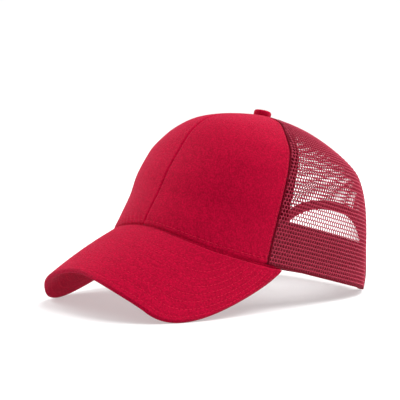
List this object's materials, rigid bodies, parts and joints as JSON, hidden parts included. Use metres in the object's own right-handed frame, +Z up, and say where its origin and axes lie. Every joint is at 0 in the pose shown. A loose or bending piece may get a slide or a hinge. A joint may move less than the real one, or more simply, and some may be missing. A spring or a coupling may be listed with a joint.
{
  "type": "ponytail baseball cap",
  "caption": "Ponytail baseball cap with a twill front and curved peak, open net side and back panels, and an arched back opening over a closure strap",
  "frame": {"origin": "middle of the footprint of the whole cap, on the surface it rests on", "axes": "+Z up, -Y the way the peak points, +X the wearer's left"},
  "size_m": [0.16, 0.2644, 0.1413],
  "materials": {
    "twill": "matt crimson cotton twill with a soft sheen and matching topstitching",
    "net": "open knitted polyester net in a darker crimson",
    "tape": "matt dark red woven tape",
    "band_cloth": "matt dark red cotton sweatband cloth",
    "strap_weave": "matt dark red webbing"
  },
  "bodies": {
    "root": {"front_panel_left": "twill", "front_panel_right": "twill", "side_panel_left": "net", "side_panel_right": "net", "back_panel": "net", "front_seam_tape_left": "tape", "front_seam_tape_right": "tape", "back_seam_tape_left": "tape", "back_seam_tape_right": "tape", "opening_binding": "tape", "sweatband": "band_cloth", "closure_strap": "strap_weave", "peak": "twill", "button": "twill"}
  },
  "joints": []
}
